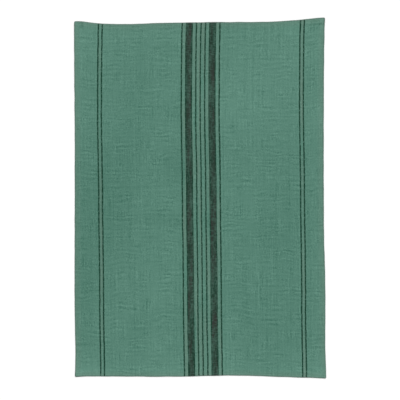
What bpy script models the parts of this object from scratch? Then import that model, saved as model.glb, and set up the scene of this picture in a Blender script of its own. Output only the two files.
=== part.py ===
"""Tea towel: one plain-woven cloth, hemmed on all four sides, lying flat and face up.

The dark stripes run along Y. The origin is on the surface that the towel rests on, under the middle of its box.
The cloth lies flat there, apart from a few low swells where it is slack.
"""

import math
from collections import namedtuple

import bmesh
import bpy

# Driving dimensions, in metres
CLOTH_WIDTH = 0.495  # from side hem to side hem, across the stripes
CLOTH_LENGTH = 0.702  # from end hem to end hem, along the stripes
CLOTH_THICKNESS = 0.0010  # one layer of cloth, with the loft of its weave
HEM_LOFT = 0.0009  # what a hem's two turned layers add under the face
END_HEM = 0.0068  # how deep the two end hems are turned
SIDE_HEM = 0.0042  # how deep the two side hems are turned
HEM_SLOPE = 0.0022  # strip where the face comes down from a hem to the single layer
FOLD_ROUND = 0.0008  # strip where the face rounds over into the folded edge
FOLD_FACE_SHARE = 0.6  # the height of the folded edge itself, as a share of the hem's
CORNER_RADIUS = 0.0026  # of the cloth's corners, seen from above
GRID_STEP = 0.017  # about the size of the mesh inside the hems

MM = 0.001

# How far each edge stands out from the cloth's rectangle, in mm, at shares of the edge's length.
# The end edges are read from left to right, and the side edges from the near end to the far end.
EdgePoint = namedtuple("EdgePoint", "share out")

FAR_END = [
    EdgePoint(share=0.00, out=1.0),
    EdgePoint(share=0.03, out=1.0),
    EdgePoint(share=0.10, out=-3.0),
    EdgePoint(share=0.16, out=-4.2),
    EdgePoint(share=0.23, out=-4.1),
    EdgePoint(share=0.32, out=-2.5),
    EdgePoint(share=0.46, out=-1.1),
    EdgePoint(share=0.64, out=-0.2),
    EdgePoint(share=0.77, out=0.2),
    EdgePoint(share=0.86, out=2.8),
    EdgePoint(share=0.93, out=5.6),
    EdgePoint(share=0.98, out=8.2),
    EdgePoint(share=1.00, out=8.7),
]
NEAR_END = [
    EdgePoint(share=0.00, out=0.5),
    EdgePoint(share=0.05, out=-0.4),
    EdgePoint(share=0.32, out=0.2),
    EdgePoint(share=0.44, out=-0.1),
    EdgePoint(share=0.58, out=-1.7),
    EdgePoint(share=0.68, out=-1.6),
    EdgePoint(share=0.82, out=0.6),
    EdgePoint(share=0.91, out=2.1),
    EdgePoint(share=1.00, out=3.8),
]
LEFT_SIDE = [
    EdgePoint(share=0.00, out=0.4),
    EdgePoint(share=0.04, out=-0.8),
    EdgePoint(share=0.16, out=0.1),
    EdgePoint(share=0.26, out=0.8),
    EdgePoint(share=0.60, out=0.4),
    EdgePoint(share=0.76, out=0.8),
    EdgePoint(share=0.88, out=1.6),
    EdgePoint(share=1.00, out=1.7),
]
RIGHT_SIDE = [
    EdgePoint(share=0.00, out=2.6),
    EdgePoint(share=0.04, out=1.7),
    EdgePoint(share=0.09, out=0.5),
    EdgePoint(share=0.19, out=0.8),
    EdgePoint(share=0.29, out=0.1),
    EdgePoint(share=0.40, out=-1.8),
    EdgePoint(share=0.50, out=-2.4),
    EdgePoint(share=0.80, out=-2.3),
    EdgePoint(share=0.95, out=-1.1),
    EdgePoint(share=1.00, out=0.0),
]

# Low oval swells where the slack cloth stands off the surface, in mm from the cloth's middle.
# length and width are half sizes, and turn is the angle of the length from the X axis, in degrees.
Swell = namedtuple("Swell", "x y length width turn height")

SWELLS = [
    Swell(x=0, y=135, length=300, width=100, turn=0, height=2.2),
    Swell(x=105, y=120, length=115, width=110, turn=0, height=0.9),
    Swell(x=-158, y=120, length=90, width=120, turn=0, height=0.9),
    Swell(x=-125, y=-71, length=190, width=50, turn=90, height=1.6),
    Swell(x=196, y=-131, length=120, width=40, turn=90, height=1.4),
    Swell(x=60, y=-240, length=120, width=70, turn=20, height=1.2),
    Swell(x=-190, y=270, length=80, width=45, turn=15, height=1.0),
    Swell(x=225, y=330, length=50, width=40, turn=45, height=1.2),
]

COTTON_GREEN = (0.098, 0.224, 0.168, 1.0)
WOVEN_ROUGHNESS = 0.9


def clear_scene():
    """Start from an empty scene."""
    for item in list(bpy.data.objects):
        bpy.data.objects.remove(item, do_unlink=True)


def edge_out(rows, share):
    """How far an edge stands out at a share of its length, in metres, on a smooth curve through its rows."""

    def slope(index):
        before = rows[max(index - 1, 0)]
        after = rows[min(index + 1, len(rows) - 1)]
        return (after.out - before.out) / (after.share - before.share)

    last = len(rows) - 2
    index = max(i for i in range(last + 1) if rows[i].share <= share or i == 0)
    start, end = rows[index], rows[index + 1]
    span = end.share - start.share
    t = (share - start.share) / span
    out = (
        start.out * (2 * t**3 - 3 * t**2 + 1)
        + slope(index) * span * (t**3 - 2 * t**2 + t)
        + end.out * (3 * t**2 - 2 * t**3)
        + slope(index + 1) * span * (t**3 - t**2)
    )
    return out * MM


def round_corner(across, along):
    """Move a place of the flat rectangle in from its square corner onto the rounded one."""
    from_side = min(across, CLOTH_WIDTH - across)
    from_end = min(along, CLOTH_LENGTH - along)
    if from_side >= CORNER_RADIUS or from_end >= CORNER_RADIUS:
        return across, along
    reach_x = CORNER_RADIUS - from_side
    reach_y = CORNER_RADIUS - from_end
    scale = max(reach_x, reach_y) / math.hypot(reach_x, reach_y)
    shift_x = reach_x * (1 - scale)
    shift_y = reach_y * (1 - scale)
    across += shift_x if across < CLOTH_WIDTH / 2 else -shift_x
    along += shift_y if along < CLOTH_LENGTH / 2 else -shift_y
    return across, along


def place_on_surface(across, along):
    """X and Y of a place of the cloth, with all four edges as they lie."""
    across, along = round_corner(across, along)
    u = across / CLOTH_WIDTH
    v = along / CLOTH_LENGTH
    side_shift = u * edge_out(RIGHT_SIDE, v) - (1 - u) * edge_out(LEFT_SIDE, v)
    end_shift = v * edge_out(FAR_END, u) - (1 - v) * edge_out(NEAR_END, u)
    x = across - CLOTH_WIDTH / 2 + side_shift
    y = along - CLOTH_LENGTH / 2 + end_shift
    return x, y


def lift(x, y):
    """Height of the cloth's underside above the surface: 0 where it rests."""
    height = 0.0
    for swell in SWELLS:
        turn = math.radians(swell.turn)
        dx = x / MM - swell.x
        dy = y / MM - swell.y
        lengthwise = (dx * math.cos(turn) + dy * math.sin(turn)) / swell.length
        crosswise = (dy * math.cos(turn) - dx * math.sin(turn)) / swell.width
        reach = math.hypot(lengthwise, crosswise)
        if reach < 1:
            height += swell.height * 0.5 * (1 + math.cos(math.pi * reach))
    return height * MM


def hem_share(from_edge, hem_depth):
    """1 over a hem, falling to 0 over the slope beside it."""
    return min(1.0, max(0.0, 1 - (from_edge - hem_depth) / HEM_SLOPE))


def thickness(across, along):
    """Thickness of the cloth: a single layer, or a hem, or two hems that cross at a corner."""
    from_side = min(across, CLOTH_WIDTH - across)
    from_end = min(along, CLOTH_LENGTH - along)
    hems = hem_share(from_side, SIDE_HEM) + hem_share(from_end, END_HEM)
    from_edge = min(from_side, from_end)
    rounding = min(1.0, FOLD_FACE_SHARE + (1 - FOLD_FACE_SHARE) * from_edge / FOLD_ROUND)
    return (CLOTH_THICKNESS + HEM_LOFT * hems) * rounding


def grid_lines(size, hem_depth):
    """Places of the mesh lines from one edge to the other, close together at the hems."""
    rim = [0.0, FOLD_ROUND, hem_depth, hem_depth + HEM_SLOPE]
    inside = size - 2 * rim[-1]
    steps = round(inside / GRID_STEP)
    middle = [rim[-1] + inside * step / steps for step in range(1, steps)]
    return rim + middle + [size - place for place in reversed(rim)]


def fill_cloth_mesh(mesh):
    """The closed sheet: its underside, its face, and the folded edge all round."""
    shape = bmesh.new()
    underside = []
    face = []
    for along in grid_lines(CLOTH_LENGTH, END_HEM):
        lower_row = []
        upper_row = []
        for across in grid_lines(CLOTH_WIDTH, SIDE_HEM):
            x, y = place_on_surface(across, along)
            height = lift(x, y)
            lower_row.append(shape.verts.new((x, y, height)))
            upper_row.append(shape.verts.new((x, y, height + thickness(across, along))))
        underside.append(lower_row)
        face.append(upper_row)

    rows = len(face)
    columns = len(face[0])
    for row in range(rows - 1):
        for column in range(columns - 1):
            cells = [(row, column), (row, column + 1), (row + 1, column + 1), (row + 1, column)]
            shape.faces.new([face[r][c] for r, c in cells])
            shape.faces.new([underside[r][c] for r, c in reversed(cells)])

    rim = [(0, column) for column in range(columns)]
    rim += [(row, columns - 1) for row in range(1, rows)]
    rim += [(rows - 1, column) for column in range(columns - 2, -1, -1)]
    rim += [(row, 0) for row in range(rows - 2, 0, -1)]
    for (r, c), (next_r, next_c) in zip(rim, rim[1:] + rim[:1]):
        shape.faces.new([underside[r][c], underside[next_r][next_c], face[next_r][next_c], face[r][c]])

    centre_on_origin(shape)
    shape.to_mesh(mesh)
    shape.free()


def centre_on_origin(shape):
    """Bring the middle of the cloth's box over the origin."""
    for axis in (0, 1):
        places = [vert.co[axis] for vert in shape.verts]
        middle = (min(places) + max(places)) / 2
        for vert in shape.verts:
            vert.co[axis] -= middle


def woven_cotton():
    """Plain-woven cotton, matt, in the towel's green."""
    material = bpy.data.materials.new("woven_cotton")
    material.use_nodes = True
    shader = material.node_tree.nodes["Principled BSDF"]
    shader.inputs["Base Color"].default_value = COTTON_GREEN
    shader.inputs["Roughness"].default_value = WOVEN_ROUGHNESS
    shader.inputs["Metallic"].default_value = 0.0
    return material


def make_tea_towel():
    """The towel: one cloth with its hems."""
    mesh = bpy.data.meshes.new("tea_towel")
    fill_cloth_mesh(mesh)
    mesh.materials.append(woven_cotton())
    mesh.shade_smooth()
    towel = bpy.data.objects.new("tea_towel", mesh)
    bpy.context.scene.collection.objects.link(towel)
    return towel


clear_scene()
make_tea_towel()
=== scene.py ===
"""The look of a tea towel: green cotton, plain-woven with dark warp stripes, hemmed and laid flat.

It is one cloth, a thin closed sheet with its hems turned twice, and the thread that sews them.
Metres, +Z up, stripes along Y. A size in mm has a name that ends in _MM, or stands under a comment
that says so.
"""

import math
from collections import namedtuple

import bpy
import numpy as np
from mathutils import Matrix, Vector, noise


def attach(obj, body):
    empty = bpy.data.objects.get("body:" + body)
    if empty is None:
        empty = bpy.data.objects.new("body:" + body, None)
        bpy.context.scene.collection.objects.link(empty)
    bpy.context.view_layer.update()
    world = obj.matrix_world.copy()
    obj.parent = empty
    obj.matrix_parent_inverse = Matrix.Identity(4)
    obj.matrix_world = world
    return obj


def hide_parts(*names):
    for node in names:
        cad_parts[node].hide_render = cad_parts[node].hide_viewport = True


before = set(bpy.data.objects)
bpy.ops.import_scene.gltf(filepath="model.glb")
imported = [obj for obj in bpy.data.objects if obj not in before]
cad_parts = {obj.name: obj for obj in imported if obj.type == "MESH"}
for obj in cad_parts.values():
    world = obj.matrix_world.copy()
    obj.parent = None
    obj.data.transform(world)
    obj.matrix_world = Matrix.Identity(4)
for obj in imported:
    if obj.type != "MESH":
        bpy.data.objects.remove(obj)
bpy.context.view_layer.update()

MM = 0.001

# ---------------------------------------------------------------- sizes of the cloth

CLOTH_WIDTH = 0.495  # from side hem to side hem, across the stripes
CLOTH_LENGTH = 0.702  # from end hem to end hem, along the stripes
SIDE_HEM = 0.0042  # how deep the two side hems are turned
END_HEM = 0.0068  # how deep the two end hems are turned
CORNER_RADIUS = 0.0026  # of the cloth's corners, seen from above

LAYER_MM = 0.5  # one layer of cloth
HEM_MM = 1.3  # three layers, pressed and sewn
HEM_RUN_MM = 14.0  # beside a hem, where the single layer slopes down to the surface
CROSSED_HEMS = 1.45  # how many times thicker the crossed hems are at a corner
HEM_END_MM = 3  # over which that thickness ends beside a hem

# How far each edge stands out from the cloth's rectangle, in mm, at shares of the edge's length.
# The end edges are read from left to right, and the side edges from the near end to the far end.
EdgePoint = namedtuple("EdgePoint", "share out")

FAR_END = [
    EdgePoint(share=0.00, out=1.0),
    EdgePoint(share=0.03, out=1.0),
    EdgePoint(share=0.10, out=-3.0),
    EdgePoint(share=0.16, out=-4.2),
    EdgePoint(share=0.23, out=-4.1),
    EdgePoint(share=0.32, out=-2.5),
    EdgePoint(share=0.46, out=-1.1),
    EdgePoint(share=0.64, out=-0.2),
    EdgePoint(share=0.77, out=0.2),
    EdgePoint(share=0.86, out=2.8),
    EdgePoint(share=0.93, out=5.6),
    EdgePoint(share=0.98, out=8.2),
    EdgePoint(share=1.00, out=8.7),
]
NEAR_END = [
    EdgePoint(share=0.00, out=0.5),
    EdgePoint(share=0.05, out=-0.4),
    EdgePoint(share=0.32, out=0.2),
    EdgePoint(share=0.44, out=-0.1),
    EdgePoint(share=0.58, out=-1.7),
    EdgePoint(share=0.68, out=-1.6),
    EdgePoint(share=0.82, out=0.6),
    EdgePoint(share=0.91, out=2.1),
    EdgePoint(share=1.00, out=3.8),
]
LEFT_SIDE = [
    EdgePoint(share=0.00, out=0.4),
    EdgePoint(share=0.04, out=-0.8),
    EdgePoint(share=0.16, out=0.1),
    EdgePoint(share=0.26, out=0.8),
    EdgePoint(share=0.60, out=0.4),
    EdgePoint(share=0.76, out=0.8),
    EdgePoint(share=0.88, out=1.6),
    EdgePoint(share=1.00, out=1.7),
]
RIGHT_SIDE = [
    EdgePoint(share=0.00, out=2.6),
    EdgePoint(share=0.04, out=1.7),
    EdgePoint(share=0.09, out=0.5),
    EdgePoint(share=0.19, out=0.8),
    EdgePoint(share=0.29, out=0.1),
    EdgePoint(share=0.40, out=-1.8),
    EdgePoint(share=0.50, out=-2.4),
    EdgePoint(share=0.80, out=-2.3),
    EdgePoint(share=0.95, out=-1.1),
    EdgePoint(share=1.00, out=0.0),
]

# Oval places of the cloth, in mm from its middle. length and width are half sizes, turn is the
# angle of the length from the X axis in degrees, and amount is what a place has at its middle.
Oval = namedtuple("Oval", "x y length width turn amount")

# Low swells where the slack cloth stands off the surface: the amount is a height in mm.
SWELLS = [
    Oval(x=0, y=135, length=300, width=100, turn=0, amount=2.2),
    Oval(x=105, y=120, length=115, width=110, turn=0, amount=0.9),
    Oval(x=-158, y=120, length=90, width=120, turn=0, amount=0.9),
    Oval(x=-125, y=-71, length=190, width=50, turn=90, amount=1.6),
    Oval(x=196, y=-131, length=120, width=40, turn=90, amount=1.4),
    Oval(x=60, y=-240, length=120, width=70, turn=20, amount=1.2),
    Oval(x=-190, y=270, length=80, width=45, turn=15, amount=1.0),
    Oval(x=225, y=330, length=50, width=40, turn=45, amount=1.2),
]

# The main creases: soft ridges, and troughs with an amount below zero. In mm too.
CREASES = [
    # The pucker in the far hem, at the left.
    Oval(x=-235, y=344, length=10, width=5, turn=90, amount=-1.2),
    Oval(x=-228, y=337, length=14, width=5, turn=60, amount=0.8),
    # Across the corner at the far right.
    Oval(x=240, y=346, length=9, width=4, turn=4, amount=-0.9),
    Oval(x=240, y=352, length=9, width=5, turn=4, amount=0.6),
    # The raised corners at the near end.
    Oval(x=-228, y=-341, length=26, width=9, turn=8, amount=0.8),
    Oval(x=236, y=-340, length=18, width=9, turn=170, amount=0.8),
    # Faint ones: beside the left stripes, right of the middle, and at the near end.
    Oval(x=-196, y=62, length=40, width=9, turn=152, amount=0.35),
    Oval(x=-214, y=45, length=30, width=8, turn=146, amount=0.3),
    Oval(x=118, y=8, length=60, width=10, turn=14, amount=0.35),
    Oval(x=96, y=-38, length=52, width=9, turn=9, amount=0.3),
    Oval(x=-152, y=-268, length=55, width=9, turn=176, amount=0.3),
    Oval(x=-128, y=-300, length=60, width=10, turn=4, amount=0.35),
]

# How pale the cloth is all over, as a share of the way from the deep to the pale green yarn.
PALE_ALL_OVER = 0.5

# Painted light and shade: places painted paler, in percent of that way, or deeper with an amount
# below zero, where the slack cloth's slopes and creases are lit or shaded.
PAINTED_LIGHT_AND_SHADE = [
    Oval(x=-240, y=365, length=140, width=155, turn=0, amount=16),
    Oval(x=195, y=335, length=190, width=190, turn=0, amount=12),
    Oval(x=-65, y=330, length=190, width=35, turn=0, amount=10),
    Oval(x=70, y=210, length=170, width=135, turn=0, amount=13),
    Oval(x=-240, y=195, length=30, width=95, turn=0, amount=7),
    Oval(x=-50, y=175, length=35, width=40, turn=0, amount=-9),
    Oval(x=240, y=165, length=65, width=65, turn=0, amount=12),
    Oval(x=-130, y=145, length=55, width=185, turn=0, amount=-9),
    Oval(x=-50, y=60, length=50, width=70, turn=0, amount=-12),
    Oval(x=-185, y=-5, length=110, width=190, turn=0, amount=-16),
    Oval(x=170, y=-15, length=70, width=190, turn=0, amount=-8),
    Oval(x=-60, y=-40, length=105, width=25, turn=0, amount=-13),
    Oval(x=135, y=-70, length=95, width=80, turn=0, amount=-7),
    Oval(x=-240, y=-175, length=105, width=190, turn=0, amount=-12),
    Oval(x=-5, y=-175, length=55, width=40, turn=0, amount=10),
    Oval(x=-85, y=-185, length=40, width=60, turn=0, amount=9),
    Oval(x=120, y=-240, length=160, width=190, turn=0, amount=-9),
    Oval(x=-125, y=-275, length=45, width=75, turn=0, amount=-8),
    Oval(x=-25, y=-280, length=85, width=130, turn=0, amount=-15),
    Oval(x=-5, y=-325, length=165, width=155, turn=0, amount=17),
    Oval(x=-235, y=-335, length=100, width=35, turn=0, amount=16),
    Oval(x=255, y=-340, length=165, width=65, turn=0, amount=15),
    # Painted light along the right and near edges.
    Oval(x=246, y=20, length=24, width=380, turn=0, amount=8),
    Oval(x=0, y=-352, length=420, width=24, turn=0, amount=9),
    Oval(x=-205, y=-346, length=60, width=14, turn=0, amount=9),
    # Painted light on the raised near corners, which face the light.
    Oval(x=-236, y=-344, length=24, width=9, turn=0, amount=18),
    Oval(x=238, y=-347, length=17, width=16, turn=0, amount=16),
    # Painted light and shade about the crease at the far right corner.
    Oval(x=225, y=343, length=9, width=18, turn=0, amount=-18),
    Oval(x=234, y=308, length=9, width=50, turn=0, amount=11),
    Oval(x=240, y=352, length=10, width=6, turn=0, amount=25),
    # Painted shade deep in the creases of the two far corners.
    Oval(x=-235, y=344, length=5, width=10, turn=0, amount=-60),
    Oval(x=240, y=346, length=10, width=4, turn=3, amount=-40),
]

# How far the folded edge is painted towards the fold's greyer, darker green, as painted shade of
# the rounded fold, in percent: all round, and how much more in places.
FOLD_SHADE_ALL_ROUND = 45
FOLD_SHADE_PLACES = [
    Oval(x=0, y=355, length=600, width=24, turn=0, amount=22),
    Oval(x=-247, y=351, length=12, width=12, turn=0, amount=15),
    Oval(x=248, y=357, length=16, width=16, turn=0, amount=30),
    Oval(x=-245, y=-351, length=14, width=14, turn=0, amount=30),
    Oval(x=249, y=-355, length=14, width=14, turn=0, amount=15),
]

# The section of a hem, as rings round the towel: from the single layer on the face, over the
# folded edge, back under the hem to its inner fold, into the slit above it, and out to the
# underside. A ring lies of_hem times the hem's depth plus beyond mm in from the folded edge, and
# height mm above the surface. Along the stitches the cloth is pulled in, to a groove on each side.
Ring = namedtuple("Ring", "of_hem beyond height")
STITCH_LINE_MM = -1.30  # where the sewing runs, from a hem's inner fold

RINGS = [
    Ring(of_hem=1.0, beyond=HEM_RUN_MM, height=LAYER_MM),
    Ring(of_hem=1.0, beyond=9.5, height=0.65),
    Ring(of_hem=1.0, beyond=5.5, height=0.92),
    Ring(of_hem=1.0, beyond=2.2, height=1.18),
    Ring(of_hem=1.0, beyond=0.2, height=1.29),
    Ring(of_hem=1.0, beyond=-0.55, height=HEM_MM),
    Ring(of_hem=1.0, beyond=-0.95, height=1.24),
    Ring(of_hem=1.0, beyond=STITCH_LINE_MM, height=1.12),
    Ring(of_hem=1.0, beyond=-1.65, height=1.24),
    Ring(of_hem=1.0, beyond=-2.10, height=HEM_MM),
    Ring(of_hem=0.4, beyond=0.0, height=1.34),
    Ring(of_hem=0.0, beyond=1.0, height=1.28),
    Ring(of_hem=0.0, beyond=0.5, height=1.16),
    Ring(of_hem=0.0, beyond=0.16, height=0.94),
    Ring(of_hem=0.0, beyond=0.0, height=0.62),
    Ring(of_hem=0.0, beyond=0.18, height=0.27),
    Ring(of_hem=0.0, beyond=0.5, height=0.08),
    Ring(of_hem=0.0, beyond=1.1, height=0.0),
    Ring(of_hem=0.4, beyond=0.0, height=0.0),
    Ring(of_hem=1.0, beyond=-1.65, height=0.02),
    Ring(of_hem=1.0, beyond=STITCH_LINE_MM, height=0.16),
    Ring(of_hem=1.0, beyond=-0.95, height=0.02),
    Ring(of_hem=1.0, beyond=-0.35, height=0.03),
    Ring(of_hem=1.0, beyond=-0.08, height=0.13),
    Ring(of_hem=1.0, beyond=0.0, height=0.34),
    Ring(of_hem=1.0, beyond=-0.08, height=0.55),
    Ring(of_hem=1.0, beyond=-0.4, height=0.70),
    Ring(of_hem=1.0, beyond=-0.8, height=0.76),
    Ring(of_hem=1.0, beyond=-0.4, height=0.81),
    Ring(of_hem=1.0, beyond=0.2, height=0.79),
    Ring(of_hem=1.0, beyond=2.2, height=0.68),
    Ring(of_hem=1.0, beyond=5.5, height=0.42),
    Ring(of_hem=1.0, beyond=9.5, height=0.15),
    Ring(of_hem=1.0, beyond=HEM_RUN_MM, height=0.0),
]
FOLDED_EDGE = 14  # the ring at the folded edge itself

GRID_STEP = 0.0032  # the cloth's mesh inside its hems
CORNER_STEPS = (0.0, 0.0009, 0.0018)  # and its first lines beside them, which round the corners
OUTLINE_POINTS = 400  # read along each edge to find the cloth's box

# Small waves of the cloth. Each kind reads its own layer of the noise, so none repeats another.
RIPPLE_SIZE_MM = 30
RIPPLE_HEIGHT_MM = 0.35
RIPPLE_BASE = 0.35  # added to the ripples' noise; the cloth lies flat where the sum is below 0
RIPPLE_LAYER = 3.5
RIPPLES_FROM_MM = (6, 30)  # in from the edge, they start at the first and are whole at the second
FINE_RIPPLE_SHARE = 0.4
FINE_RIPPLE_SIZE_MM = 13.6
FINE_RIPPLE_LAYER = 8.5
PUCKER_SIZE_MM = 5.0  # pulled up by the stitches, beside the hems
PUCKER_HEIGHT_MM = 0.25
PUCKER_BASE = 0.5  # added to the puckers' noise, as for the ripples
PUCKER_STRETCH = 3  # how many times longer a pucker is away from the stitches
PUCKER_REACH_MM = 9  # how soon the puckers fade on either side of a hem's inner fold
SIDE_PUCKER_LAYER = 1.5
END_PUCKER_LAYER = 6.5
EDGE_WANDER_MM = 0.4  # unevenness of the folded edges, seen from above
EDGE_WANDER_SIZE_MM = 22
EDGE_WANDER_REACH_MM = 8  # how soon it fades in from the edge
SIDE_WANDER_LAYER = 11.5
END_WANDER_LAYER = 14.5

# ---------------------------------------------------------------- the woven pattern, in mm

THREAD_PITCH_MM = 1.2  # from one thread to the next, either way; the real 0.7 is too fine to show
THREAD_RELIEF_MM = 0.12  # how far a thread's middle stands above its sides
CROSSING_BLUR = 0.15  # how softly a thread gives way to the one that crosses it; 0 is a sharp edge
THICK_PICK_MM = 9.0  # from one thick weft pick to the next
LINE_PALENESS = 0.16  # how much paler or deeper green the uneven yarns are
LINE_RELIEF_MM = 0.03  # and how much they stand out
LINES_TOGETHER = 1.7  # the strengths of the warp's and the weft's lines add up to this
HEM_WEAR = 0.27  # how much greyer the hems are worn, and from where to where in from the edge
HEM_WEAR_MM = (1, 14)
FOLD_SHADE_MM = (0.6, 2.8)  # and from where to where the painted shade of the folded edge itself ends

# Soft random changes over the cloth: patches so many mm across and along it, with values mostly
# from low to high. More detail puts finer patches inside, and more roughness makes these stronger.
Patches = namedtuple("Patches", "across along low high detail roughness", defaults=(1.0, 0.5))

# How far the wefts and the warp ends stray from straight, in mm.
WEFT_BOW = Patches(across=90, along=60, low=-3, high=3, detail=2)
WARP_WANDER = Patches(across=16, along=16, low=-0.22, high=0.22)

# How much closer the dark ends are set than the green ones: in thin stripes, and in broad bands.
THIN_COVER = Patches(across=3, along=5, low=0.2, high=1.35)
BAND_COVER = Patches(across=4, along=70, low=0.8, high=1.5, detail=4, roughness=0.85)

# Uneven yarns, thick and pale or thin and deep: lines over part of the cloth, and over most of it.
# Real yarns, about 0.7 mm wide, are too fine to show, so the lines are drawn 3 to 4 mm wide.
SHORT_WARP_LINES = Patches(across=3.9, along=32, low=-0.89, high=0.89, detail=2.5, roughness=0.95)
LONG_WARP_LINES = Patches(across=3.9, along=520, low=-0.75, high=0.75, detail=2.5, roughness=0.95)
SHORT_WEFT_LINES = Patches(across=25, along=3.6, low=-0.62, high=0.62, detail=2.5, roughness=0.9)
LONG_WEFT_LINES = Patches(across=160, along=3.6, low=-0.28, high=0.28, detail=2.5, roughness=0.9)
THICK_PICK_SHIFT = Patches(across=45, along=20, low=-1.8, high=1.8)  # in radians of its wave
THICK_PICK_SHARE = Patches(across=30, along=18, low=0.0, high=0.85)
WARP_SHARE = Patches(across=45, along=45, low=0.5, high=1.2)  # of LINES_TOGETHER
SPECKS = Patches(across=2.8, along=2.8, low=-1.4, high=1.4, detail=2, roughness=0.8)
LINE_STRENGTH = Patches(across=26, along=26, low=0.6, high=1.4)  # of all of these

# The yarn of the broad bands: how much of it is charcoal, and how heathered it is.
CHARCOAL_SHARE = Patches(across=8, along=70, low=0.16, high=0.96, detail=2)
HEATHER_SHARE = Patches(across=8, along=45, low=0.0, high=0.6, detail=2)
WARP_FLECKS = Patches(across=2.6, along=9, low=-0.32, high=0.32, detail=3, roughness=0.6)
WEFT_FLECKS = Patches(across=8, along=2.2, low=-0.36, high=0.36, detail=2, roughness=0.6)

# How greyed the green is between the dark stripes.
GREYED_SHARE = Patches(across=7, along=120, low=0.0, high=0.34, detail=1.5)

# Half of the stripes: they are the same on both sides of the middle line.
Stripe = namedtuple("Stripe", "middle width")

HALF_STRIPES = [
    Stripe(middle=0.0, width=2.8),
    Stripe(middle=8.9, width=2.9),
    Stripe(middle=23.2, width=14.4),
    Stripe(middle=37.5, width=2.9),
    Stripe(middle=196.1, width=2.9),
    Stripe(middle=203.6, width=2.9),
]
BROAD_BAND = [Stripe(middle=23.2, width=14.4)]
CHARCOAL_ENDS = [Stripe(middle=23.4, width=9.6)]  # the other dark ends are bottle green

# The green ends that are greyed are those between the dark ones.
GREYED_ENDS = [Stripe(middle=0.0, width=74.0), Stripe(middle=199.8, width=6.0)]

# Where the pattern's middle line runs, in mm to the right of the towel's middle, at shares of
# the towel's length.
PATTERN_MIDDLE = [
    EdgePoint(share=0.00, out=6.7),
    EdgePoint(share=0.04, out=6.4),
    EdgePoint(share=0.16, out=4.9),
    EdgePoint(share=0.30, out=4.3),
    EdgePoint(share=0.44, out=2.9),
    EdgePoint(share=0.58, out=2.1),
    EdgePoint(share=0.72, out=0.4),
    EdgePoint(share=0.84, out=0.5),
    EdgePoint(share=0.92, out=1.0),
    EdgePoint(share=0.96, out=1.4),
    EdgePoint(share=1.00, out=2.3),
]
RIGHT_SLACK = 0.003  # the share by which the right half lies wider, and the left half narrower

# ---------------------------------------------------------------- the cloth's shape


def read_curve(rows, share):
    """A table's out values at shares of its length, in metres, on a smooth curve through it."""
    shares = np.array([row.share for row in rows])
    outs = np.array([row.out for row in rows]) * MM
    before = np.maximum(np.arange(len(rows)) - 1, 0)
    after = np.minimum(np.arange(len(rows)) + 1, len(rows) - 1)
    slopes = (outs[after] - outs[before]) / (shares[after] - shares[before])
    index = np.clip(np.searchsorted(shares, share, side="right") - 1, 0, len(rows) - 2)
    span = shares[index + 1] - shares[index]
    t = (share - shares[index]) / span
    return (
        outs[index] * (2 * t**3 - 3 * t**2 + 1)
        + slopes[index] * span * (t**3 - 2 * t**2 + t)
        + outs[index + 1] * (3 * t**2 - 2 * t**3)
        + slopes[index + 1] * span * (t**3 - t**2)
    )


def round_corners(across, along):
    """Move places near the flat rectangle's square corners in onto the rounded ones."""
    reach_x = np.maximum(CORNER_RADIUS - np.minimum(across, CLOTH_WIDTH - across), 0)
    reach_y = np.maximum(CORNER_RADIUS - np.minimum(along, CLOTH_LENGTH - along), 0)
    length = np.maximum(np.hypot(reach_x, reach_y), 1e-9)  # nothing is divided by 0
    in_corner = (reach_x > 0) & (reach_y > 0)
    inward = np.where(in_corner, 1 - np.maximum(reach_x, reach_y) / length, 0)
    across = across + np.where(across < CLOTH_WIDTH / 2, 1, -1) * reach_x * inward
    along = along + np.where(along < CLOTH_LENGTH / 2, 1, -1) * reach_y * inward
    return across, along


def spread_out(across, along):
    """X and Y of places of the flat cloth, with all four edges as they lie."""
    across, along = round_corners(across, along)
    u = across / CLOTH_WIDTH
    v = along / CLOTH_LENGTH
    x = across - CLOTH_WIDTH / 2
    x = x + u * read_curve(RIGHT_SIDE, v) - (1 - u) * read_curve(LEFT_SIDE, v)
    y = along - CLOTH_LENGTH / 2
    y = y + v * read_curve(FAR_END, u) - (1 - v) * read_curve(NEAR_END, u)
    return x, y


def box_middle():
    """The middle of the spread cloth's box, which lies over the origin."""
    share = np.linspace(0, 1, OUTLINE_POINTS)
    same = np.ones(OUTLINE_POINTS)
    ends = [spread_out(share * CLOTH_WIDTH, same * end) for end in (0.0, CLOTH_LENGTH)]
    sides = [spread_out(same * side, share * CLOTH_LENGTH) for side in (0.0, CLOTH_WIDTH)]
    outline = np.hstack([np.array(edge) for edge in ends + sides])
    return (outline.min(axis=1) + outline.max(axis=1)) / 2


MIDDLE = box_middle()


def amount_at(rows, x, y):
    """The summed amount of a table's ovals at places on the surface."""
    total = np.zeros_like(x)
    for row in rows:
        turn = math.radians(row.turn)
        dx = x / MM - row.x
        dy = y / MM - row.y
        lengthwise = (dx * math.cos(turn) + dy * math.sin(turn)) / row.length
        crosswise = (dy * math.cos(turn) - dx * math.sin(turn)) / row.width
        reach = np.minimum(np.hypot(lengthwise, crosswise), 1)
        total += row.amount * 0.5 * (1 + np.cos(np.pi * reach))
    return total


def soft_noise(x, y, size_mm, layer):
    """Smooth noise from about -1 to 1 with features of a size, a different one for each layer."""
    scale = size_mm * MM
    places = zip((x / scale).tolist(), (y / scale).tolist())
    return np.array([noise.noise(Vector((a, b, layer))) for a, b in places])


def soft_step(low, high, value):
    """0 below low, 1 above high, with a soft change between."""
    t = np.clip((value - low) / (high - low), 0, 1)
    return t * t * (3 - 2 * t)


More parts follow.
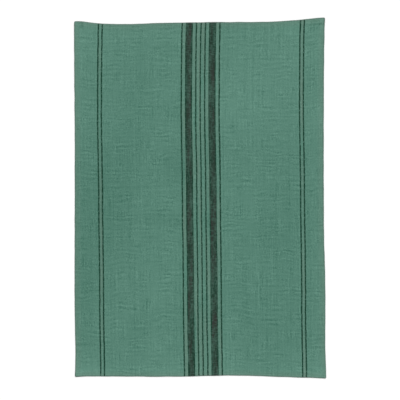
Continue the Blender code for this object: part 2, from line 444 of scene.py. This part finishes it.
def lay_cloth(across, along, height_mm):
    """Points of the cloth as it lies, from places on the flat cloth and heights in its layers."""
    from_side = np.minimum(across, CLOTH_WIDTH - across) / MM
    from_end = np.minimum(along, CLOTH_LENGTH - along) / MM
    x, y = spread_out(across, along)

    inside = soft_step(*RIPPLES_FROM_MM, np.minimum(from_side, from_end))
    waves = soft_noise(across, along, RIPPLE_SIZE_MM, RIPPLE_LAYER)
    waves += FINE_RIPPLE_SHARE * soft_noise(across, along, FINE_RIPPLE_SIZE_MM, FINE_RIPPLE_LAYER)
    ripple = RIPPLE_HEIGHT_MM * inside * np.maximum(waves + RIPPLE_BASE, 0)

    side_puckers = soft_noise(across / PUCKER_STRETCH, along, PUCKER_SIZE_MM, SIDE_PUCKER_LAYER)
    end_puckers = soft_noise(across, along / PUCKER_STRETCH, PUCKER_SIZE_MM, END_PUCKER_LAYER)
    beside_side = np.exp(-(((from_side - SIDE_HEM / MM) / PUCKER_REACH_MM) ** 2))
    beside_end = np.exp(-(((from_end - END_HEM / MM) / PUCKER_REACH_MM) ** 2))
    pulled = beside_side * (PUCKER_BASE + side_puckers) + beside_end * (PUCKER_BASE + end_puckers)
    puckers = PUCKER_HEIGHT_MM * np.maximum(pulled, 0)

    on_side_hem = 1 - soft_step(0, HEM_END_MM, from_side - SIDE_HEM / MM)
    on_end_hem = 1 - soft_step(0, HEM_END_MM, from_end - END_HEM / MM)
    crossed = 1 + (CROSSED_HEMS - 1) * on_side_hem * on_end_hem
    crease = amount_at(CREASES, x, y)
    pressed = np.minimum(crease, 0) * np.minimum(height_mm / HEM_MM, 1)
    risen = np.maximum(crease, 0)
    z = amount_at(SWELLS, x, y) + ripple + puckers + risen + pressed + height_mm * crossed

    wander = EDGE_WANDER_MM * MM
    by_side = np.exp(-from_side / EDGE_WANDER_REACH_MM)
    by_end = np.exp(-from_end / EDGE_WANDER_REACH_MM)
    x = x + wander * by_side * soft_noise(across, along, EDGE_WANDER_SIZE_MM, SIDE_WANDER_LAYER)
    y = y + wander * by_end * soft_noise(across, along, EDGE_WANDER_SIZE_MM, END_WANDER_LAYER)
    return np.stack([x - MIDDLE[0], y - MIDDLE[1], z * MM], axis=-1)


# ---------------------------------------------------------------- the cloth


def grid_lines(size, hem_depth):
    """Places of the cloth's mesh lines between the inner rims of its hems."""
    rim = hem_depth + HEM_RUN_MM * MM
    steps = round((size - 2 * rim) / GRID_STEP)
    step = (size - 2 * rim) / steps
    near = [rim + place for place in CORNER_STEPS]
    middle = [rim + step * number for number in range(1, steps)]
    return np.array(near + middle + [size - place for place in reversed(near)])


def rim_cells(rows, columns):
    """Row and column of the grid's outermost points, anticlockwise from the near left corner."""
    near = [(0, column) for column in range(columns)]
    right = [(row, columns - 1) for row in range(1, rows)]
    far = [(rows - 1, column) for column in range(columns - 2, -1, -1)]
    left = [(row, 0) for row in range(rows - 2, 0, -1)]
    return np.array(near + right + far + left)


def ring_insets(hem_depth):
    """How far in from the folded edge each ring lies."""
    return np.array([ring.of_hem * hem_depth + ring.beyond * MM for ring in RINGS])


def unrolled_insets(hem_depth):
    """How far each ring is from the folded edge along the cloth itself, over or under the hem."""
    heights = np.array([ring.height for ring in RINGS]) * MM
    steps = np.hypot(np.diff(ring_insets(hem_depth)), np.diff(heights))
    lengths = np.concatenate([[0], np.cumsum(steps)])
    return np.abs(lengths - lengths[FOLDED_EDGE])


def cloth_places(lines_across, lines_along, insets_across, insets_along, size):
    """Places of all the cloth's points: its face's grid, its rings, and its underside's grid.

    The first and the last ring are the outermost points of the two grids.
    """
    grid_x, grid_y = np.meshgrid(lines_across, lines_along)
    rim = rim_cells(len(lines_along), len(lines_across))
    share_x = (lines_across[rim[:, 1]] - lines_across[0]) / (lines_across[-1] - lines_across[0])
    share_y = (lines_along[rim[:, 0]] - lines_along[0]) / (lines_along[-1] - lines_along[0])
    x_parts = [grid_x.ravel()]
    y_parts = [grid_y.ravel()]
    for inset_x, inset_y in zip(insets_across[1:-1], insets_along[1:-1]):
        x_parts.append(inset_x + share_x * (size[0] - 2 * inset_x))
        y_parts.append(inset_y + share_y * (size[1] - 2 * inset_y))
    x_parts.append(grid_x.ravel())
    y_parts.append(grid_y.ravel())
    return np.concatenate(x_parts), np.concatenate(y_parts)


def cloth_faces(rows, columns):
    """The quads of the closed cloth, and how many are on its upper side, which come first."""
    rim = rim_cells(rows, columns)
    grid = np.arange(rows * columns).reshape(rows, columns)
    cells = [grid[:-1, :-1], grid[:-1, 1:], grid[1:, 1:], grid[1:, :-1]]
    face = np.stack(cells, axis=-1).reshape(-1, 4)
    rings = [grid[rim[:, 0], rim[:, 1]]]
    for number in range(len(RINGS) - 2):
        rings.append(rows * columns + number * len(rim) + np.arange(len(rim)))
    underside_start = rows * columns + (len(RINGS) - 2) * len(rim)
    rings.append(underside_start + rings[0])
    bands = []
    for inner, outer in zip(rings, rings[1:]):
        bands.append(np.stack([inner, outer, np.roll(outer, -1), np.roll(inner, -1)], axis=-1))
    underside = underside_start + face[:, ::-1]
    upper = len(face) + FOLDED_EDGE * len(rim)
    return np.concatenate([face] + bands + [underside]), upper


# Where the two sides go on the cloth's flat map, as shares of the map.
MapPlace = namedtuple("MapPlace", "end_ring left low width height")

FACE_ON_MAP = MapPlace(end_ring=0, left=0.004, low=0.004, width=0.70, height=0.992)
UNDERSIDE_ON_MAP = MapPlace(end_ring=-1, left=0.71, low=0.004, width=0.286, height=0.405)


def lay_out_flat(mesh, quads, upper):
    """A UV map of the cloth laid out flat: its upper side large, its underside small beside it."""
    insets = unrolled_insets(SIDE_HEM), unrolled_insets(END_HEM)
    lines = grid_lines(CLOTH_WIDTH, SIDE_HEM), grid_lines(CLOTH_LENGTH, END_HEM)
    maps = []
    for side in (FACE_ON_MAP, UNDERSIDE_ON_MAP):
        grown = [inset[side.end_ring] - line[0] for inset, line in zip(insets, lines)]
        size = CLOTH_WIDTH + 2 * grown[0], CLOTH_LENGTH + 2 * grown[1]
        x, y = cloth_places(lines[0] + grown[0], lines[1] + grown[1], *insets, size)
        u = side.left + x / size[0] * side.width
        v = side.low + y / size[1] * side.height
        maps.append(np.stack([u, v], axis=-1))
    corners = np.concatenate([maps[0][quads[:upper].ravel()], maps[1][quads[upper:].ravel()]])
    mesh.uv_layers.new(name="OFBake").uv.foreach_set("vector", corners.astype(np.float32).ravel())


def mark_threads(mesh, points, across, along):
    """Keep what the cotton needs to know at each point.

    threads_mm is its place in the weave: across the stripes, along them, and in from the edge.
    Its paleness is how pale the green is there, its own tone with painted light and shade on top,
    and its fold shade is how much painted shade of the rounded folded edge lies there.
    """
    from_middle = points[:, 0] + MIDDLE[0] - read_curve(PATTERN_MIDDLE, along / CLOTH_LENGTH)
    from_middle *= 1 - RIGHT_SLACK * np.sign(from_middle)
    from_side = np.minimum(across, CLOTH_WIDTH - across)
    from_end = np.minimum(along, CLOTH_LENGTH - along)
    threads = np.stack([from_middle, along, np.minimum(from_side, from_end)], axis=-1) / MM
    attribute = mesh.attributes.new("threads_mm", "FLOAT_VECTOR", "POINT")
    attribute.data.foreach_set("vector", threads.astype(np.float32).ravel())
    x, y = points[:, 0] + MIDDLE[0], points[:, 1] + MIDDLE[1]
    tone_and_painted_light = PALE_ALL_OVER + amount_at(PAINTED_LIGHT_AND_SHADE, x, y) / 100
    fold_shade = (FOLD_SHADE_ALL_ROUND + amount_at(FOLD_SHADE_PLACES, x, y)) / 100
    for name, values in (("tone_and_painted_light", tone_and_painted_light), ("fold_shade", fold_shade)):
        attribute = mesh.attributes.new(name, "FLOAT", "POINT")
        attribute.data.foreach_set("value", values.astype(np.float32))


def make_towel_cloth():
    """The cloth as one closed thin sheet: its face, its hems turned twice, and its underside."""
    lines_across = grid_lines(CLOTH_WIDTH, SIDE_HEM)
    lines_along = grid_lines(CLOTH_LENGTH, END_HEM)
    insets = ring_insets(SIDE_HEM), ring_insets(END_HEM)
    across, along = cloth_places(lines_across, lines_along, *insets, (CLOTH_WIDTH, CLOTH_LENGTH))
    grid_size = len(lines_across) * len(lines_along)
    rim_size = len(rim_cells(len(lines_along), len(lines_across)))
    face = np.full(grid_size, LAYER_MM)
    hems = np.repeat([ring.height for ring in RINGS[1:-1]], rim_size)
    points = lay_cloth(across, along, np.concatenate([face, hems, np.zeros(grid_size)]))
    quads, upper = cloth_faces(len(lines_along), len(lines_across))
    mesh = bpy.data.meshes.new("towel_cloth")
    mesh.from_pydata(points.tolist(), [], quads.tolist())
    mesh.shade_smooth()
    lay_out_flat(mesh, quads, upper)
    mark_threads(mesh, points, across, along)
    mesh.materials.append(plain_woven_cotton())
    return link_piece("towel_cloth", mesh)


def link_piece(name, mesh):
    """Put a mesh in the scene as a piece of its own."""
    piece = bpy.data.objects.new(name, mesh)
    bpy.context.scene.collection.objects.link(piece)
    return piece


# ---------------------------------------------------------------- the sewing

STITCH_PITCH_MM = 2.9  # from one stitch to the next
STITCH_LENGTH_MM = 2.5
THREAD_RADIUS_MM = 0.17
THREAD_SIDES = 6
TWIST_MM = 0.4  # from one turn of its plies to the next
TWIST_RELIEF_MM = 0.04
STITCH_TONES = (0.85, 1.15)  # how dark and how bright a stitch can be, against THREAD_GREEN
WAVE_REPEAT = 2 * math.pi / 10  # how far apart a diagonal wave texture's bands are along one axis
FACE_STITCH_MM = 1.25  # height of the thread in its groove on the face
UNDERSIDE_STITCH_MM = 0.17  # and in the one on the underside

# The thread along one stitch: where, as a share of its half length, and how deep it dips into the
# cloth in mm.
StitchPoint = namedtuple("StitchPoint", "along dip")

STITCH_PATH = [
    StitchPoint(along=-1.0, dip=0.42),
    StitchPoint(along=-0.86, dip=0.12),
    StitchPoint(along=-0.4, dip=0.0),
    StitchPoint(along=0.4, dip=0.0),
    StitchPoint(along=0.86, dip=0.12),
    StitchPoint(along=1.0, dip=0.42),
]


def stitch_rows():
    """Middles and directions of all the stitches on the flat cloth, in four straight rows."""
    side = SIDE_HEM + STITCH_LINE_MM * MM
    end = END_HEM + STITCH_LINE_MM * MM
    middles = []
    directions = []
    for first, last, lines, turned in (
        (side, CLOTH_WIDTH - side, (end, CLOTH_LENGTH - end), False),
        (end, CLOTH_LENGTH - end, (side, CLOTH_WIDTH - side), True),
    ):
        holes = np.linspace(first, last, round((last - first) / (STITCH_PITCH_MM * MM)) + 1)
        for line in lines:
            for place in (holes[:-1] + holes[1:]) / 2:
                middles.append((line, place) if turned else (place, line))
                directions.append((0.0, 1.0) if turned else (1.0, 0.0))
    return np.array(middles), np.array(directions)


def make_hem_stitching():
    """Every lockstitch of the hems, on the face and the underside: one mesh of short threads."""
    middles, directions = stitch_rows()
    up = np.array([0.0, 0.0, 1.0])
    sideways = np.stack([-directions[:, 1], directions[:, 0], np.zeros(len(directions))], axis=-1)
    sides = []
    for height, into_cloth in ((FACE_STITCH_MM, -1), (UNDERSIDE_STITCH_MM, 1)):
        sections = []
        for point in STITCH_PATH:
            place = middles + directions * STITCH_LENGTH_MM / 2 * MM * point.along
            heights = np.full(len(place), height + into_cloth * point.dip)
            thread = lay_cloth(place[:, 0], place[:, 1], heights)
            for side in range(THREAD_SIDES):
                turn = 2 * math.pi * side / THREAD_SIDES
                around = sideways * math.cos(turn) + up * math.sin(turn)
                sections.append(thread + around * THREAD_RADIUS_MM * MM)
        sides.append(np.stack(sections, axis=1).reshape(-1, 3))
    verts = np.concatenate(sides)

    per_stitch = len(STITCH_PATH) * THREAD_SIDES
    first_end = list(reversed(range(THREAD_SIDES)))
    last_end = list(range(per_stitch - THREAD_SIDES, per_stitch))
    faces = [first_end, last_end]
    for first in range(0, per_stitch - THREAD_SIDES, THREAD_SIDES):
        for side in range(THREAD_SIDES):
            a = first + side
            b = first + (side + 1) % THREAD_SIDES
            faces.append([a, b, b + THREAD_SIDES, a + THREAD_SIDES])
    starts = range(0, len(verts), per_stitch)
    all_faces = [[start + corner for corner in face] for start in starts for face in faces]
    mesh = bpy.data.meshes.new("hem_stitching")
    mesh.from_pydata(verts.tolist(), [], all_faces)
    mesh.shade_smooth()
    mesh.materials.append(spun_sewing_thread())
    return link_piece("hem_stitching", mesh)


# ---------------------------------------------------------------- materials

DEEP_GREEN_YARN = "#396858"
PALE_GREEN_YARN = "#649080"
CHARCOAL_YARN = "#2A2F2A"
BOTTLE_YARN = "#003524"
HEATHER_YARN = "#3A5A4D"
GREYED_GREEN_YARN = "#6C8073"
# The greyer, darker green painted along the folded edges: painted shade of the rounded fold.
FOLD_SHADE_GREEN = "#4F5F57"
THREAD_GREEN = "#4F7A69"
BOARD_WHITE = "#FCFCFC"

MATH = "ShaderNodeMath"
VECTOR_MATH = "ShaderNodeVectorMath"
MAP_RANGE = "ShaderNodeMapRange"
MIX = "ShaderNodeMix"
ATTRIBUTE = "ShaderNodeAttribute"
PRINCIPLED = "ShaderNodeBsdfPrincipled"
MIX_FIRST, MIX_SECOND, MIX_RESULT = 6, 7, 2  # a Mix node's sockets for colours
ADD = {"operation": "ADD"}
MULTIPLY = {"operation": "MULTIPLY"}
CLAMPED_MULTIPLY = {"operation": "MULTIPLY", "use_clamp": True}
MULTIPLY_ADD = {"operation": "MULTIPLY_ADD"}
CLAMPED_MULTIPLY_ADD = {"operation": "MULTIPLY_ADD", "use_clamp": True}
COLOURS = {"data_type": "RGBA"}
NOISE_RANGE = (0.3, 0.7)  # a noise texture's values lie mostly between these


def linear(hex_colour):
    """An sRGB hex colour as linear RGBA."""
    values = [int(hex_colour[start : start + 2], 16) / 255 for start in (1, 3, 5)]
    return [v / 12.92 if v <= 0.04045 else ((v + 0.055) / 1.055) ** 2.4 for v in values] + [1.0]


def add_node(tree, kind, settings=None, inputs=None):
    """Add a node with its settings, and its inputs filled with values, nodes or their outputs."""
    made = tree.nodes.new(kind)
    for name, value in (settings or {}).items():
        setattr(made, name, value)
    for socket, value in (inputs or {}).items():
        if isinstance(value, bpy.types.Node):
            value = value.outputs[0]
        if isinstance(value, bpy.types.NodeSocket):
            tree.links.new(value, made.inputs[socket])
        else:
            made.inputs[socket].default_value = value
    return made


def new_material(name):
    """A material with no nodes, and its tree."""
    material = bpy.data.materials.new(name)
    material.use_nodes = True
    material.node_tree.nodes.clear()
    return material, material.node_tree


def add_patches(tree, place, patches):
    """Add a soft random value in patches over the cloth."""
    per_mm = (1 / patches.across, 1 / patches.along, 1)
    stretched = add_node(tree, VECTOR_MATH, MULTIPLY, {0: place, 1: per_mm})
    chance = add_node(
        tree, "ShaderNodeTexNoise", {"noise_dimensions": "2D"},
        {
            "Vector": stretched,
            "Scale": 1.0,
            "Detail": patches.detail,
            "Roughness": patches.roughness,
        },
    )
    return add_node(
        tree, MAP_RANGE, {"clamp": False},
        {
            "Value": chance,
            "From Min": NOISE_RANGE[0],
            "From Max": NOISE_RANGE[1],
            "To Min": patches.low,
            "To Max": patches.high,
        },
    )


def add_stripes(tree, from_middle, stripes):
    """Add a value that is 1 over some of the chart's stripes, and 0 elsewhere."""
    over_any = 0.0
    for stripe in stripes:
        near = {0: from_middle, 1: stripe.middle, 2: stripe.width / 2}
        over = add_node(tree, MATH, {"operation": "COMPARE"}, near)
        over_any = add_node(tree, MATH, {"operation": "MAXIMUM"}, {0: over, 1: over_any})
    return over_any


def plain_woven_cotton():
    """Yarn-dyed cotton in plain weave: matt and soft, with uneven yarns that show as crossed lines.

    The stripes are dark warp ends. The green weft goes over every other one, so they look beaded.
    """
    material, tree = new_material("plain_woven_cotton")
    threads = add_node(tree, ATTRIBUTE, {"attribute_name": "threads_mm"}).outputs["Vector"]
    across, along, from_edge = add_node(tree, "ShaderNodeSeparateXYZ", inputs={0: threads}).outputs

    # The wefts bow by some mm over the slack cloth, and the warp ends wander by a fraction of one.
    pick_place = add_node(tree, MATH, ADD, {0: along, 1: add_patches(tree, threads, WEFT_BOW)})
    end_place = add_node(tree, MATH, ADD, {0: across, 1: add_patches(tree, threads, WARP_WANDER)})
    along_warp = add_node(tree, "ShaderNodeCombineXYZ", inputs={0: end_place, 1: along})
    along_weft = add_node(tree, "ShaderNodeCombineXYZ", inputs={0: across, 1: pick_place})

    # Dark warp ends, by the chart.
    from_middle = add_node(tree, MATH, {"operation": "ABSOLUTE"}, {0: end_place})
    is_dark = add_stripes(tree, from_middle, HALF_STRIPES)
    is_broad = add_stripes(tree, from_middle, BROAD_BAND)
    is_charcoal = add_stripes(tree, from_middle, CHARCOAL_ENDS)
    is_greyed = add_stripes(tree, from_middle, GREYED_ENDS)

    # Plain weave: the warp is on top where the two waves have the same sign. Dark ends are set
    # closer and cover more, by an uneven amount.
    end_turn = add_node(tree, MATH, MULTIPLY, {0: end_place, 1: math.pi / THREAD_PITCH_MM})
    end_wave = add_node(tree, MATH, {"operation": "COSINE"}, {0: end_turn})
    pick_turn = add_node(tree, MATH, MULTIPLY, {0: pick_place, 1: math.pi / THREAD_PITCH_MM})
    pick_wave = add_node(tree, MATH, {"operation": "COSINE"}, {0: pick_turn})
    crossing = add_node(tree, MATH, MULTIPLY, {0: end_wave, 1: pick_wave})
    thin_cover = add_patches(tree, threads, THIN_COVER)
    band_cover = add_patches(tree, along_warp, BAND_COVER)
    cover = add_node(
        tree, MAP_RANGE, inputs={"Value": is_broad, "To Min": thin_cover, "To Max": band_cover}
    )
    dark_cover = add_node(tree, MATH, MULTIPLY, {0: is_dark, 1: cover})
    lean = add_node(tree, MATH, ADD, {0: crossing, 1: dark_cover})
    warp_on_top = add_node(
        tree, MAP_RANGE, {"interpolation_type": "SMOOTHSTEP"},
        {"Value": lean, "From Min": -CROSSING_BLUR, "From Max": CROSSING_BLUR},
    )

    # Uneven yarns: lines a few threads wide, up the warp and along the bowed wefts, where a thick
    # pick stands out every so often.
    short_lines = add_patches(tree, along_warp, SHORT_WARP_LINES)
    long_lines = add_patches(tree, along_warp, LONG_WARP_LINES)
    warp_lines = add_node(tree, MATH, ADD, {0: short_lines, 1: long_lines})
    short_lines = add_patches(tree, along_weft, SHORT_WEFT_LINES)
    long_lines = add_patches(tree, along_weft, LONG_WEFT_LINES)
    weft_lines = add_node(tree, MATH, ADD, {0: short_lines, 1: long_lines})
    shift = add_patches(tree, along_weft, THICK_PICK_SHIFT)
    thick_turn = add_node(
        tree, MATH, MULTIPLY_ADD, {0: pick_place, 1: 2 * math.pi / THICK_PICK_MM, 2: shift}
    )
    thick_picks = add_node(tree, MATH, {"operation": "SINE"}, {0: thick_turn})
    thick_share = add_patches(tree, along_weft, THICK_PICK_SHARE)
    weft_lines = add_node(tree, MATH, MULTIPLY_ADD, {0: thick_picks, 1: thick_share, 2: weft_lines})

    # Either kind is stronger in some parts of the cloth. Specks are thick places of single yarns.
    warp_share = add_patches(tree, threads, WARP_SHARE)
    weft_share = add_node(tree, MATH, {"operation": "SUBTRACT"}, {0: LINES_TOGETHER, 1: warp_share})
    specks = add_patches(tree, threads, SPECKS)
    lines = add_node(tree, MATH, MULTIPLY_ADD, {0: warp_lines, 1: warp_share, 2: specks})
    lines = add_node(tree, MATH, MULTIPLY_ADD, {0: weft_lines, 1: weft_share, 2: lines})
    lines = add_node(tree, MATH, MULTIPLY, {0: lines, 1: add_patches(tree, threads, LINE_STRENGTH)})

    # The dark yarn is bottle green, and in the broad bands it is spun from mixed fibres: partly
    # charcoal, with heathered patches and short flecks along both threads.
    charcoal_share = add_patches(tree, along_warp, CHARCOAL_SHARE)
    charcoal = add_node(tree, MATH, CLAMPED_MULTIPLY, {0: is_charcoal, 1: charcoal_share})
    dark = add_node(
        tree, MIX, COLOURS,
        {0: charcoal, MIX_FIRST: linear(BOTTLE_YARN), MIX_SECOND: linear(CHARCOAL_YARN)},
    ).outputs[MIX_RESULT]
    heather = add_patches(tree, along_warp, HEATHER_SHARE)
    heather = add_node(tree, MATH, ADD, {0: heather, 1: add_patches(tree, along_warp, WARP_FLECKS)})
    heather = add_node(tree, MATH, ADD, {0: heather, 1: add_patches(tree, along_weft, WEFT_FLECKS)})
    heather = add_node(tree, MATH, CLAMPED_MULTIPLY, {0: heather, 1: is_broad})
    dark = add_node(
        tree, MIX, COLOURS, {0: heather, MIX_FIRST: dark, MIX_SECOND: linear(HEATHER_YARN)}
    ).outputs[MIX_RESULT]

    # The green yarn is deeper where it is thin and paler where it is thick, and it is painted paler
    # or deeper where light and shade fall on the cloth's slopes and creases. It is greyer between
    # the dark ends, whose dye has run a little in the wash, and along the worn hems.
    tone_and_painted_light = add_node(tree, ATTRIBUTE, {"attribute_name": "tone_and_painted_light"}).outputs["Fac"]
    paleness = add_node(tree, MATH, MULTIPLY_ADD, {0: lines, 1: LINE_PALENESS, 2: tone_and_painted_light})
    green = add_node(
        tree, MIX, COLOURS,
        {0: paleness, MIX_FIRST: linear(DEEP_GREEN_YARN), MIX_SECOND: linear(PALE_GREEN_YARN)},
    ).outputs[MIX_RESULT]
    greyed_share = add_patches(tree, along_warp, GREYED_SHARE)
    hem_wear = add_node(
        tree, MAP_RANGE,
        inputs={
            "Value": from_edge,
            "From Min": HEM_WEAR_MM[0],
            "From Max": HEM_WEAR_MM[1],
            "To Min": HEM_WEAR,
            "To Max": 0,
        },
    )
    greyed = add_node(
        tree, MATH, CLAMPED_MULTIPLY_ADD, {0: is_greyed, 1: greyed_share, 2: hem_wear}
    )
    green = add_node(
        tree, MIX, COLOURS, {0: greyed, MIX_FIRST: green, MIX_SECOND: linear(GREYED_GREEN_YARN)}
    ).outputs[MIX_RESULT]
    shows_dark = add_node(tree, MATH, MULTIPLY, {0: warp_on_top, 1: is_dark})
    weave = add_node(
        tree, MIX, COLOURS, {0: shows_dark, MIX_FIRST: green, MIX_SECOND: dark}
    ).outputs[MIX_RESULT]

    # Along its folded edges a greyer, darker green is painted on: painted shade of the rounded
    # fold.
    fold_shade = add_node(tree, ATTRIBUTE, {"attribute_name": "fold_shade"}).outputs["Fac"]
    fold = add_node(
        tree, MAP_RANGE,
        inputs={
            "Value": from_edge,
            "From Min": FOLD_SHADE_MM[0],
            "From Max": FOLD_SHADE_MM[1],
            "To Min": fold_shade,
            "To Max": 0,
        },
    )
    weave = add_node(
        tree, MIX, COLOURS, {0: fold, MIX_FIRST: weave, MIX_SECOND: linear(FOLD_SHADE_GREEN)}
    ).outputs[MIX_RESULT]

    # Relief in mm: rounded threads, with thick and thin places.
    loft = add_node(tree, MATH, {"operation": "ABSOLUTE"}, {0: crossing})
    relief = add_node(tree, MATH, MULTIPLY, {0: loft, 1: THREAD_RELIEF_MM})
    relief = add_node(tree, MATH, MULTIPLY_ADD, {0: lines, 1: LINE_RELIEF_MM, 2: relief})
    bump = add_node(tree, "ShaderNodeBump", inputs={"Height": relief, "Distance": MM})

    # Cotton has next to no gloss, and a thin bloom of loose fibres.
    cotton = add_node(
        tree, PRINCIPLED,
        inputs={
            "Base Color": weave,
            "Roughness": 0.9,
            "Specular IOR Level": 0.25,
            "Sheen Weight": 0.12,
            "Sheen Roughness": 0.5,
            "Normal": bump,
        },
    )
    add_node(tree, "ShaderNodeOutputMaterial", inputs={"Surface": cotton})
    return material


def spun_sewing_thread():
    """Spun cotton sewing thread: darker than the cloth, faintly shiny, and lined by its twist.

    One stitch is paler or deeper than the next, as the thread turns in the light.
    """
    material, tree = new_material("spun_sewing_thread")
    place = add_node(tree, "ShaderNodeTexCoord").outputs["Object"]
    twist = add_node(
        tree, "ShaderNodeTexWave", {"bands_direction": "DIAGONAL"},
        {"Vector": place, "Scale": WAVE_REPEAT / (TWIST_MM * MM)},
    ).outputs["Fac"]
    single = add_node(tree, "ShaderNodeNewGeometry").outputs["Random Per Island"]
    tone = add_node(
        tree, MAP_RANGE,
        inputs={"Value": single, "To Min": STITCH_TONES[0], "To Max": STITCH_TONES[1]},
    )
    green = linear(THREAD_GREEN)[:3]
    colour = add_node(tree, VECTOR_MATH, {"operation": "SCALE"}, {0: green, "Scale": tone})
    bump = add_node(
        tree, "ShaderNodeBump", inputs={"Height": twist, "Distance": TWIST_RELIEF_MM * MM}
    )
    thread = add_node(
        tree, PRINCIPLED,
        inputs={"Base Color": colour, "Roughness": 0.6, "Specular IOR Level": 0.4, "Normal": bump},
    )
    add_node(tree, "ShaderNodeOutputMaterial", inputs={"Surface": thread})
    return material


def matt_white_board():
    """White painted board: plain and matt, with nothing on it but the towel's soft shadow."""
    material, tree = new_material("matt_white_board")
    paint = add_node(
        tree, PRINCIPLED,
        inputs={"Base Color": linear(BOARD_WHITE), "Roughness": 0.8, "Specular IOR Level": 0.2},
    )
    add_node(tree, "ShaderNodeOutputMaterial", inputs={"Surface": paint})
    return material


# ---------------------------------------------------------------- floor, light and camera

FLOOR_SIZE = 16.0
FLOOR_Z = -0.2 * MM  # just under the cloth
LIGHT_FROM = (0.35, 1.0, 1.5)  # high beyond the far end, and a little to the right
LIGHT_ANGLE = 50  # how wide the light looks from the towel, in degrees: its shadows are soft
LIGHT_STRENGTH = 2.36
HORIZON = 0.93  # brightness of the pale studio round the floor
DOME = 0.44  # and of the room above it
DOME_RISE = (0.03, 0.3)  # the sines of the heights between which the first gives way to the second
PHOTO_WIDTH = 0.792  # what the picture's width covers on the surface
PHOTO_MIDDLE = (-0.0004, -0.004)
LENS_MM = 85
SENSOR_MM = 36


def make_floor():
    """A plain pale floor for the towel to lie on."""
    half = FLOOR_SIZE / 2
    plan = [(-half, -half), (half, -half), (half, half), (-half, half)]
    mesh = bpy.data.meshes.new("worktop")
    mesh.from_pydata([(x, y, FLOOR_Z) for x, y in plan], [], [(0, 1, 2, 3)])
    mesh.materials.append(matt_white_board())
    link_piece("worktop", mesh)


def make_window_light():
    """One large soft light from far away, so that it is even over the whole floor."""
    light = bpy.data.lights.new("window_light", "SUN")
    light.angle = math.radians(LIGHT_ANGLE)
    light.energy = LIGHT_STRENGTH
    lamp = bpy.data.objects.new("window_light", light)
    lamp.rotation_euler = Vector(LIGHT_FROM).to_track_quat("Z", "Y").to_euler()
    bpy.context.scene.collection.objects.link(lamp)


def make_studio():
    """A pale studio: white all round at the height of the floor, and softer above."""
    world = bpy.data.worlds.new("studio")
    world.use_nodes = True
    tree = world.node_tree
    tree.nodes.clear()
    direction = add_node(tree, "ShaderNodeTexCoord").outputs["Generated"]
    height = add_node(tree, "ShaderNodeSeparateXYZ", inputs={0: direction}).outputs["Z"]
    light = add_node(
        tree, MAP_RANGE,
        inputs={
            "Value": height,
            "From Min": DOME_RISE[0],
            "From Max": DOME_RISE[1],
            "To Min": HORIZON,
            "To Max": DOME,
        },
    )
    background = add_node(
        tree, "ShaderNodeBackground", inputs={"Color": (1.0, 1.0, 1.0, 1.0), "Strength": light}
    )
    add_node(tree, "ShaderNodeOutputWorld", inputs={"Surface": background})
    bpy.context.scene.world = world


def make_camera():
    """A camera straight above the towel, with the photo's frame."""
    data = bpy.data.cameras.new("camera")
    data.lens = LENS_MM
    data.sensor_width = SENSOR_MM
    camera = bpy.data.objects.new("camera", data)
    camera.location = (*PHOTO_MIDDLE, PHOTO_WIDTH * LENS_MM / SENSOR_MM)
    bpy.context.scene.collection.objects.link(camera)
    bpy.context.scene.camera = camera


# ---------------------------------------------------------------- the scene

towel_cloth = make_towel_cloth()
hem_stitching = make_hem_stitching()
make_floor()
make_window_light()
make_studio()
make_camera()
bpy.context.scene.view_settings.view_transform = "Standard"

for piece in (towel_cloth, hem_stitching):
    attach(piece, "root")
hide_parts("tea_towel")
